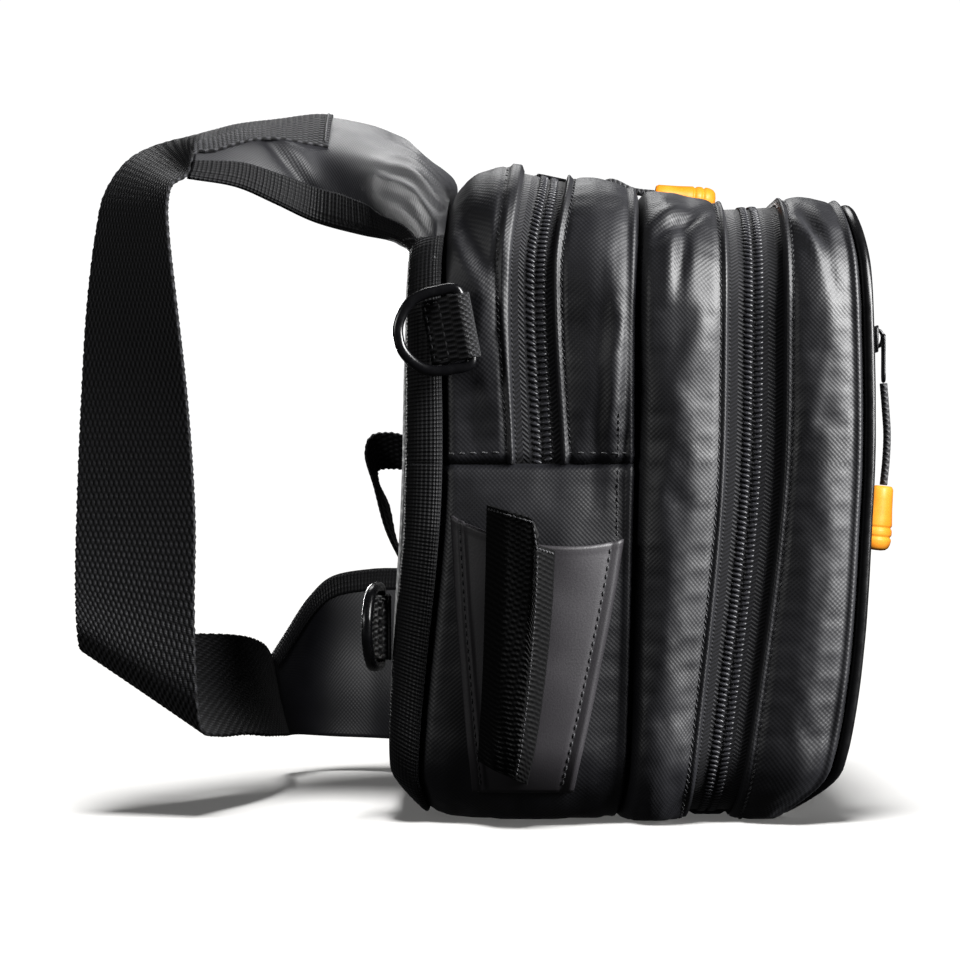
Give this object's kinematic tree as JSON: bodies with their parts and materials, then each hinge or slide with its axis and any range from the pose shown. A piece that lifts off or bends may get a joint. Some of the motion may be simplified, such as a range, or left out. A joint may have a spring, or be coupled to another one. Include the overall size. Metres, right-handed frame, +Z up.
{
  "type": "fishing sling bag",
  "caption": "Standing sling bag for fishing with arched coil zips, a side pocket with a tool sleeve, swinging D-rings, a padded shoulder strap and cord zip pulls.",
  "frame": {"origin": "on the flat underside of the lower gusset, under the middle of the bag", "axes": "+Z up, +X towards the bag's front panel, -X towards the wearer's back, -Y the side with the tool pocket"},
  "size_m": [0.3223, 0.2254, 0.2937],
  "materials": {
    "cloth": "charcoal twill polyester with a soft sheen",
    "back_mesh": "black padded spacer mesh",
    "edge_tape": "black ribbed binding tape",
    "webbing": "black woven polypropylene webbing",
    "coated_cloth": "grey coated cloth, smooth",
    "coil_zip": "black coil zip on woven tape",
    "piping": "black glossy piping",
    "ring_plastic": "black moulded acetal",
    "slider_metal": "black lacquered zinc",
    "pull_cord": "black braided cord",
    "grip_rubber": "orange moulded rubber"
  },
  "bodies": {
    "bag": {"rear_gusset": "cloth", "middle_gusset": "cloth", "lower_gusset": "cloth", "front_gusset": "cloth", "pocket_gusset": "cloth", "base_strip": "cloth", "rear_zipper": "coil_zip", "front_zipper": "coil_zip", "back_binding": "edge_tape", "back_panel": "back_mesh", "front_piping": "piping", "front_panel": "cloth", "front_pocket_zipper": "coil_zip", "front_slider": "slider_metal", "front_pull_tab": "slider_metal", "rear_slider": "slider_metal", "rear_pull_tab": "slider_metal", "main_slider": "slider_metal", "main_pull_tab": "slider_metal", "front_pull_cord": "pull_cord", "front_pull_grip": "grip_rubber", "rear_pull_cord": "pull_cord", "rear_pull_grip": "grip_rubber", "side_pocket": "coated_cloth", "tool_sleeve": "webbing", "upper_ring_tab": "webbing", "lower_ring_tab": "webbing", "shoulder_pad": "cloth", "pad_binding_far": "edge_tape", "pad_binding_near": "edge_tape", "strap_webbing": "webbing", "strap_wing": "cloth", "keeper_loop": "webbing"},
    "upper_ring": {"upper_d_ring": "ring_plastic"},
    "lower_ring": {"lower_d_ring": "ring_plastic"}
  },
  "joints": [
    {"name": "upper_ring_swing", "type": "hinge", "parent": "bag", "child": "upper_ring", "pos_m": [-0.0556, -0.1054, 0.1916], "axis": [-0.1889, 0, 0.982], "range_deg": [-8, 165]},
    {"name": "lower_ring_swing", "type": "hinge", "parent": "bag", "child": "lower_ring", "pos_m": [-0.0893, -0.07, 0.075], "axis": [0, 0, -1], "range_deg": [-8, 165]}
  ]
}
